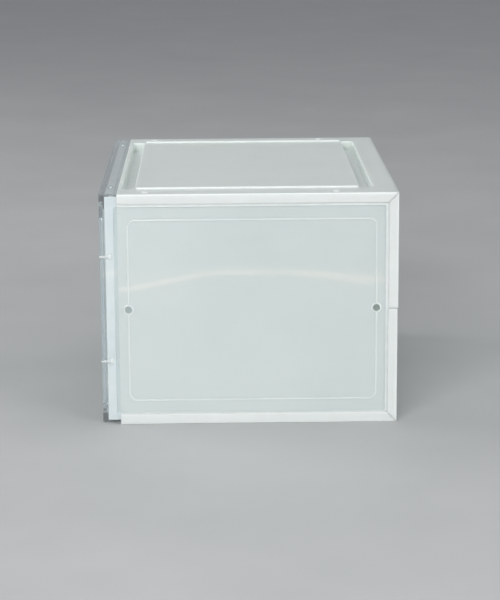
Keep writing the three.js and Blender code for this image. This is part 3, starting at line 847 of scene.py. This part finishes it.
# %% Side panel blanks
HOOK_PROUD = 1.2 * MM
PANEL_OUT = panel_high.x - HOOK_PROUD
SHEET_OUT = PANEL_OUT - 1.2 * MM
PANEL_Y = (BODY_FRONT, LOW_BACK - WALL - GAP)
PANEL_Z = (WALL + GAP, TONGUE_TOP)
RIM_SHOWS = 3.2 * MM  # width of rim beside the bands
WINDOW_Y = (FLANGE_BACK - RIM_SHOWS, BACK - BACK_BAND - RIM_SHOWS)
WINDOW_Z = (BAND + MM, HEIGHT - BAND - RIM_SHOWS)
WINDOW_CORNER = 2 * MM
RIM_EDGE = 0.4 * MM
STEP_EDGE = 0.5 * MM
HOOKS_Z = (61.4 * MM, 162.4 * MM)
HOOK_DEEP = 3 * MM
HOOK_HIGH = 5 * MM
ARM_HIGH = 2 * MM  # the arm runs forward from the hook, through a slot in the frame
ARM_PROUD = 0.4 * MM  # and a little past the frame's face


def upright_outline(ys, zs, grow, x, radius):
    """A rounded rectangle that stands facing sideways, larger on each side by grow."""
    outline = rounded_rectangle((ys[0] - grow, zs[0] - grow), (ys[1] + grow, zs[1] + grow), radius + grow)
    return [(x, y, z) for y, z in outline]


def hook_and_arm(side, z):
    hook = side_block(side, (SHEET_OUT - 0.5 * MM, panel_high.x), around(STUD_Y, HOOK_DEEP / 2),
                      around(z, HOOK_HIGH / 2), 0.5 * MM, 0.5 * MM)
    arm = side_block(side, (PANEL_OUT + 0.3 * MM, panel_high.x), (FRONT - ARM_PROUD, STUD_Y),
                     around(z, ARM_HIGH / 2), 0.4 * MM, 0.3 * MM)
    return [hook, arm]


def panel_blank(name, side):
    steps = [(-SOFT, PANEL_IN), (0, PANEL_IN + SOFT)]
    steps += [(-inset, PANEL_OUT - left) for inset, left in round_edge(RIM_EDGE)]
    rings = [upright_outline(PANEL_Y, PANEL_Z, grow, side * x, MM) for grow, x in steps]
    steps = [(left, PANEL_OUT - drop) for drop, left in round_edge(STEP_EDGE)]
    steps += [(-inset, SHEET_OUT + left) for inset, left in round_edge(STEP_EDGE)[1:]]
    rings += [upright_outline(WINDOW_Y, WINDOW_Z, grow, side * x, WINDOW_CORNER) for grow, x in steps]
    blank = skin(name, rings)
    combine(blank, [block for z in HOOKS_Z for block in hook_and_arm(side, z)], "UNION")
    step_up = side_block(side, (0, SIDE), (FRONT, SHELL_FRONT), (0, FLOOR_RISE), 0.2 * MM)
    return combine(blank, [step_up], "DIFFERENCE")


right_panel = panel_blank("right_panel", 1)
left_panel = panel_blank("left_panel", -1)
print("panel blanks:", len(right_panel.data.polygons), "faces each")

# %% [markdown]
# ### Bead, collars and vent holes
#
# A thin sheet bends easily, so a raised bead runs round it, and a collar stiffens the edge of each vent
# hole. Bead and collars are joined to the sheet before the holes are drilled, so each hole goes cleanly
# through all three.

# %% Bead, collars and holes
BEAD_Z = (22.7 * MM, HEIGHT - 25.2 * MM)
BEAD_CORNER = 7 * MM
BEAD_WIDTH = 1.8 * MM
LINE_HEIGHT = 0.7 * MM
COLLAR_WIDTH = 1.8 * MM
VENTS_Y = (FRONT + 26 * MM, BACK - 20.5 * MM)
VENT_RADIUS = 3.3 * MM


def raised_lines():
    collar_path = VENT_RADIUS + COLLAR_WIDTH / 2
    middle_y = sum(VENTS_Y) / 2
    bead = {
        "Length": VENTS_Y[1] - VENTS_Y[0], "Height": BEAD_Z[1] - BEAD_Z[0], "Corner": BEAD_CORNER,
        "Line Width": BEAD_WIDTH, "Line Height": LINE_HEIGHT, "Apart": 0.0,
        "Middle": (SHEET_OUT, middle_y, sum(BEAD_Z) / 2), "Material": MILKY_PANEL,
    }
    collar = bead | {
        "Length": 2 * collar_path, "Height": 2 * collar_path, "Corner": 0.999 * collar_path,
        "Line Width": COLLAR_WIDTH, "Apart": VENTS_Y[1] - VENTS_Y[0], "Middle": (SHEET_OUT, middle_y, MIDDLE),
    }
    return [grow_from_tree("bead", RAISED_LINE, bead), grow_from_tree("collars", RAISED_LINE, collar)]


def on_rim(face):
    return abs(face.calc_center_median().x) > PANEL_OUT - 0.1 * MM


def one_side(piece, side):
    """A copy of a piece that keeps only what is on one side of the box."""
    bm = bmesh.new()
    bm.from_mesh(piece.data)
    bmesh.ops.delete(bm, geom=[vert for vert in bm.verts if vert.co.x * side < 0], context="VERTS")
    return new_piece(piece.name, bm)


lines = raised_lines()
for side, panel, node in ((1, right_panel, "side_panel_right"), (-1, left_panel, "side_panel_left")):
    combine(panel, [one_side(line, side) for line in lines], "UNION")
    span = sorted((side * RAIL_IN, side * SIDE))
    combine(panel, [rod("vent", VENT_RADIUS, span, (0, y, MIDDLE), "X") for y in VENTS_Y], "DIFFERENCE")
    # The rim is lightened fully, as thick plastic and as painted light that lifts the shade under the band;
    # the rounded edges of bead and collars are lightened by half, for wear and as a painted highlight.
    finish_surface(panel, on_rim, thick_or_shaded_value=1, edge=0.5)
    place_piece(panel, "shell", MILKY_PANEL, node)
for line in lines:
    bpy.data.objects.remove(line)

# %% [markdown]
# ## The clear frame
#
# The frame is one section carried round the doorway: the flange, the rounded front edge, the face and
# the reveal. It is a closed skin whose rings are rectangles of different sizes, so its four corners
# come out mitred and the whole stays watertight, which glass needs to bend light rightly.

# %% Clear frame
FRAME_LOW = frame_low.z
DOORWAY_X = SIDE - 8 * MM
DOORWAY_Z = (FRAME_LOW + 8.2 * MM, HEIGHT - 7.6 * MM)
FRONT_CORNER = 2.5 * MM  # radius of the upright front corners
FRONT_EDGE = 0.5 * MM  # and of the top and bottom ones, which are only softened
REVEAL_EDGE = 0.3 * MM
FLANGE_CORNER = 1.2 * MM
DOORWAY_CORNER = 0.8 * MM
INNER_FILLET = 0.8 * MM
HEM = 2.9 * MM  # the flange's last stretch is thinner
HEM_DROP = 0.35 * MM


def doorway_ring(half, zs, y, radius, grow=0):
    """A rounded rectangle across the box, larger on each side by grow."""
    outline = rounded_rectangle((-half - grow, zs[0] - grow), (half + grow, zs[1] + grow), radius)
    return [(x, y, z) for x, z in outline]


def frame_rings():
    rings = []
    for in_x, back in round_edge(FRONT_CORNER, 5):
        in_z = in_x * FRONT_EDGE / FRONT_CORNER
        rings.append(doorway_ring(SIDE - in_x, (FRAME_LOW + in_z, HEIGHT - in_z), FRONT + back,
                                  FLANGE_CORNER))
    soft = REVEAL_EDGE
    reveal_back = FRONT + FACE
    for grow, y in ((soft, FRONT), (soft / 3, FRONT + soft / 3), (0, FRONT + soft), (0, reveal_back - soft),
                    (soft / 3, reveal_back - soft / 3), (soft, reveal_back)):
        rings.append(doorway_ring(DOORWAY_X, DOORWAY_Z, y, DOORWAY_CORNER + grow, grow))
    whole_z = (FRAME_LOW, HEIGHT)
    for back, left in round_edge(INNER_FILLET):
        rings.append(doorway_ring(SIDE, whole_z, reveal_back + back, DOORWAY_CORNER, -FRAME_SKIN - left))
    for inset, y in ((FRAME_SKIN, FLANGE_BACK - soft), (FRAME_SKIN - soft, FLANGE_BACK),
                     (HEM_DROP + soft, FLANGE_BACK), (HEM_DROP, FLANGE_BACK - soft),
                     (HEM_DROP, FLANGE_BACK - HEM), (0, FLANGE_BACK - HEM - 2 * HEM_DROP)):
        rings.append(doorway_ring(SIDE, whole_z, y, FLANGE_CORNER, -inset))
    return rings


DOOR_LOW = door_low.z
DOOR_TOP = door_high.z
DOOR_X = door_high.x
DOOR_DEEP = 3.2 * MM
PIVOT_Y = FRONT + 3.3 * MM
PIVOT_Z = DOOR_LOW + 8 * MM
BORE_RADIUS = 1.22 * MM
LUG_RADIUS = 3.1 * MM
MAGNET_X = 80 * MM
MAGNET_Z = DOOR_TOP - 6 * MM
SEAT_RADIUS = 3.15 * MM
SEAT_DEPTH = 2.15 * MM
STOP_FRONT = FRONT + DOOR_DEEP + GAP
print("doorway", round(2 * DOORWAY_X / MM, 1), "mm wide; door", round(2 * DOOR_X / MM, 1))

# %% [markdown]
# ### Stops, magnet cups and holes of the frame
#
# Behind the face runs a lip that stops the shut door, with two cups for its magnets. Windows and slots
# in the flange take the side panels' hooks, round holes take the top panel's studs, and a bore on each
# side takes a hinge pin. Four small buffers stand on the face, where the next box or a wall would touch.

# %% Frame details
STOP_REACH = 3.2 * MM
STOP_DEEP = 1.5 * MM
CUP_DEEP = 3.75 * MM
SNAP_PLAY = 0.4 * MM  # round each stud and hook
SLOT_PLAY = 0.2 * MM
NUB_RADIUS = 1.5 * MM
NUB_HEIGHT = 0.5 * MM
NUBS_Z = (32 * MM, HEIGHT - 23 * MM)


def stops_and_cups():
    ys = (STOP_FRONT, STOP_FRONT + STOP_DEEP)
    top = DOORWAY_Z[1] + MM
    parts = [spanning_block(DOORWAY_X + MM, ys, (DOOR_TOP - STOP_REACH, top), 0.3 * MM)]
    for side in (-1, 1):
        parts.append(side_block(side, (DOORWAY_X - STOP_REACH, DOORWAY_X + MM), ys,
                                (PIVOT_Z + LUG_RADIUS + 8 * MM, top), 0.3 * MM))
        cup = SEAT_RADIUS + 1.6 * MM
        parts.append(side_block(side, around(MAGNET_X, cup), (STOP_FRONT, STOP_FRONT + CUP_DEEP),
                                (MAGNET_Z - cup, top), 0.8 * MM, 0.5 * MM))
    return parts


def hook_window_and_slot(side, z):
    window = side_block(side, (SIDE - FRAME_SKIN - MM, SIDE + MM), around(STUD_Y, HOOK_DEEP / 2 + SNAP_PLAY),
                        around(z, HOOK_HIGH / 2 + SNAP_PLAY), 0.6 * MM)
    slot = side_block(side, (PANEL_OUT + 0.1 * MM, SIDE + MM), (FRONT - MM, STUD_Y),
                      around(z, ARM_HIGH / 2 + SLOT_PLAY), 0.2 * MM)
    return [window, slot]


def frame_cuts():
    cuts = []
    for side in (-1, 1):
        through = sorted((side * (DOORWAY_X - MM), side * (SIDE + MM)))
        cuts.append(rod("bore", BORE_RADIUS, through, (0, PIVOT_Y, PIVOT_Z), "X"))
        cuts.append(rod("stud_hole", STUD_RADIUS + SNAP_PLAY, (TONGUE_TOP, HEIGHT + MM),
                        (side * STUD_X, STUD_Y, 0), "Z"))
        cuts.append(rod("seat", SEAT_RADIUS, (STOP_FRONT - MM, STOP_FRONT + SEAT_DEPTH),
                        (side * MAGNET_X, 0, MAGNET_Z), "Y"))
        for z in HOOKS_Z:
            cuts += hook_window_and_slot(side, z)
    return cuts


clear_frame = skin("door_frame", frame_rings(), closed=True)
nubs = bumps("nubs", SIDE + DOORWAY_X, NUBS_Z[1] - NUBS_Z[0], NUB_RADIUS, NUB_HEIGHT,
             (0, FRONT, sum(NUBS_Z) / 2), turn=(math.pi / 2, 0, 0), material=CLEAR_FRAME)
combine(clear_frame, stops_and_cups() + [nubs], "UNION")
combine(clear_frame, frame_cuts(), "DIFFERENCE")
finish_surface(clear_frame)
place_piece(clear_frame, "shell", CLEAR_FRAME, "front_frame")

# %% [markdown]
# ## The clear door
#
# The door is a thin sheet with a deeper rim and a thick head that holds the magnets. Its lower front
# edge slopes, so that it clears the sill when it swings down. The pins turn in round lugs at its lower
# corners, and a finger tab stands out at the top.

# %% Door
DOOR_SHEET = 2 * MM
DOOR_RIM = 3 * MM
DOOR_HEAD = 12 * MM
DOOR_EDGE = 0.5 * MM
DOOR_CORNER = MM
BACK_EDGE = 0.3 * MM
SHEET_FILLET = 0.4 * MM
PANE_CORNER = 1.5 * MM
TOE = 2.5 * MM
LUG_WIDTH = 4 * MM
LUG_EDGE = 0.3 * MM
TAB_REACH = 20 * MM
TAB_HEIGHT = 7 * MM
TAB_PROUD = 1.5 * MM


def door_rings():
    rings = []
    for back, left in round_edge(DOOR_EDGE):
        rings.append(doorway_ring(DOOR_X, (DOOR_LOW + TOE - back, DOOR_TOP), FRONT + back,
                                  DOOR_CORNER - left, -left))
    rear = FRONT + DOOR_DEEP
    for y, grow in ((FRONT + TOE, 0), (rear - BACK_EDGE, 0), (rear, -BACK_EDGE)):
        rings.append(doorway_ring(DOOR_X, (DOOR_LOW, DOOR_TOP), y, DOOR_CORNER + grow, grow))
    pane_z = (DOOR_LOW + DOOR_RIM, DOOR_TOP - DOOR_HEAD)
    for grow, y in ((BACK_EDGE, rear), (0, rear - BACK_EDGE), (0, FRONT + DOOR_SHEET + SHEET_FILLET),
                    (-SHEET_FILLET, FRONT + DOOR_SHEET)):
        rings.append(doorway_ring(DOOR_X - DOOR_RIM, pane_z, y, PANE_CORNER + grow, grow))
    return rings


def finger_tab():
    outline = rounded_outline([
        (FRONT + MM, DOOR_TOP - 0.1 * MM, 0.1 * MM),
        (FRONT - TAB_PROUD, DOOR_TOP - 0.1 * MM, 0.5 * MM),
        (FRONT - TAB_PROUD, DOOR_TOP - 2.2 * MM, 1.2 * MM),
        (FRONT - 0.02 * MM, DOOR_TOP - TAB_HEIGHT, 2 * MM),
        (FRONT + MM, DOOR_TOP - TAB_HEIGHT, 0.1 * MM),
    ])
    middle = Vector((sum(y for y, _ in outline), sum(z for _, z in outline))) / len(outline)
    full = TAB_REACH - 0.4 * MM
    rings = []
    for x, size in ((-TAB_REACH, 0.8), (-full, 1), (full, 1), (TAB_REACH, 0.8)):
        rings.append([(x, *(middle + (Vector(point) - middle) * size)) for point in outline])
    return skin("tab", rings)


door = skin("door_panel", door_rings())
door_parts = [finger_tab()]
door_cuts = []
for side in (-1, 1):
    lug = sorted((side * (DOOR_X - LUG_WIDTH), side * DOOR_X))
    door_parts.append(rod("lug", LUG_RADIUS, lug, (0, PIVOT_Y, PIVOT_Z), "X", LUG_EDGE))
    bridge = (DOOR_X - LUG_WIDTH + 0.1 * MM, DOOR_X - 0.1 * MM)
    door_parts.append(side_block(side, bridge, (FRONT + MM, PIVOT_Y), around(PIVOT_Z, LUG_RADIUS), 0.2 * MM))
    door_cuts.append(rod("bore", BORE_RADIUS, (lug[0] - MM, lug[1] + MM), (0, PIVOT_Y, PIVOT_Z), "X"))
    door_cuts.append(rod("seat", SEAT_RADIUS, (FRONT + DOOR_DEEP - SEAT_DEPTH, FRONT + DOOR_DEEP + MM),
                         (side * MAGNET_X, 0, MAGNET_Z), "Y"))
combine(door, door_parts, "UNION")
combine(door, door_cuts, "DIFFERENCE")
finish_surface(door)
place_piece(door, "door", CLEAR_DOOR, "door")

# %% [markdown]
# ## Pins and magnets
#
# A pin is a short length of wire with turned-down ends. A magnet is a pressed and plated disc, so its
# rim is round and its faces are very slightly dished. Both are turned from a profile.

# %% Pins and magnets
PIN_RADIUS = 1.1 * MM
PIN_CHAMFER = 0.35 * MM
PIN_INSET = 0.4 * MM  # the pin's end lies this far inside the frame's side
MAGNET_RADIUS = 3 * MM
MAGNET_DEPTH = 2 * MM
MAGNET_RIM = 0.35 * MM
MAGNET_DISH = 0.06 * MM
MAGNET_PLAY = 0.075 * MM


def turned_magnet(name, side, low):
    half = [(MAGNET_DISH, 0.5 * MAGNET_RADIUS), (0, 0.75 * MAGNET_RADIUS)]
    half += [(along, MAGNET_RADIUS - left) for along, left in round_edge(MAGNET_RIM)]
    far = [(MAGNET_DEPTH - along, radius) for along, radius in reversed(half)]
    profile = [(low + along, radius) for along, radius in half + far]
    return turned(name, profile, (side * MAGNET_X, 0, MAGNET_Z), "Y")


for hand, side in (("left", -1), ("right", 1)):
    span = sorted((side * (DOOR_X - LUG_WIDTH), side * (SIDE - PIN_INSET)))
    pin = rod(f"pin_{hand}", PIN_RADIUS, span, (0, PIVOT_Y, PIVOT_Z), "X", PIN_CHAMFER)
    place_piece(finish_surface(pin), "shell", PIN_STEEL, f"hinge_pin_{hand}")
    in_frame = turned_magnet(f"catch_magnet_{hand}", side, STOP_FRONT + MAGNET_PLAY)
    place_piece(finish_surface(in_frame), "shell", MAGNET_PLATING, f"frame_magnet_{hand}")
    in_door = turned_magnet(f"door_catch_{hand}", side, FRONT + DOOR_DEEP - SEAT_DEPTH + MAGNET_PLAY)
    place_piece(finish_surface(in_door), "door", MAGNET_PLATING, f"door_magnet_{hand}")

# %% [markdown]
# ## Floor and light
#
# The floor is one wide pale sheet with a faint mottle, so that it isn't a computer's perfect plane. The
# light is soft: a large panel over the camera's shoulder, a weaker one from the back right, one
# overhead and one before the door. A pale sky fills the shadows. A thin warm strip near the floor is
# there only to be reflected: the glossy side panel bends it into a wavy line, so the sheet doesn't look
# perfectly flat.

# %% Floor
def add_floor():
    bm = bmesh.new()
    bmesh.ops.create_grid(bm, x_segments=1, y_segments=1, size=12)
    floor = new_piece("floor", bm)
    material, tree, place = new_material("studio_floor")
    mottle = spread(tree, noise(tree, place, 5.0, 6.0, 0.6), 0, 1)
    end_material(tree, {
        "Base Color": colour_between(tree, mottle, (0.50, 0.51, 0.51), (0.545, 0.55, 0.55)),
        "Roughness": spread(tree, mottle, 0.60, 0.66),
    })
    floor.data.materials.append(material)
    return floor


floor = add_floor()
print("floor", [round(value, 1) for value in floor.dimensions])

# %% Lights
def add_softbox(name, place, target, size, power, colour=(1, 1, 1)):
    light = bpy.data.lights.new(name, "AREA")
    light.color = colour
    light.shape = "RECTANGLE"
    light.size, light.size_y = size
    light.energy = power
    lamp = bpy.data.objects.new(name, light)
    bpy.context.scene.collection.objects.link(lamp)
    lamp.location = place
    lamp.rotation_euler = (Vector(target) - Vector(place)).to_track_quat("-Z", "Y").to_euler()
    return lamp


add_softbox("key", (2.9, -0.9, 1.4), (0, 0, 0.1), (1.6, 1.2), 57.5)
add_softbox("fill", (2.0, 2.0, 1.0), (0, 0, 0.1), (1.4, 1.4), 23.6)
add_softbox("top", (-0.6, 0, 2.6), (0, 0, 0), (2.0, 2.0), 8.4)
add_softbox("front", (-0.6, -2.6, 1.2), (0, 0, 0.1), (1.6, 1.6), 26)
add_softbox("edge_strip", (0.82, 0.0, 0.012), (0.1, 0.0, 0.16), (1.4, 0.004), 0.08, (1.0, 0.62, 0.42))
world = bpy.data.worlds.new("studio")
world.use_nodes = True
world.node_tree.nodes["Background"].inputs["Color"].default_value = (0.93, 0.96, 1.0, 1)
world.node_tree.nodes["Background"].inputs["Strength"].default_value = 0.35
bpy.context.scene.world = world
bpy.context.scene.view_settings.view_transform = "Standard"
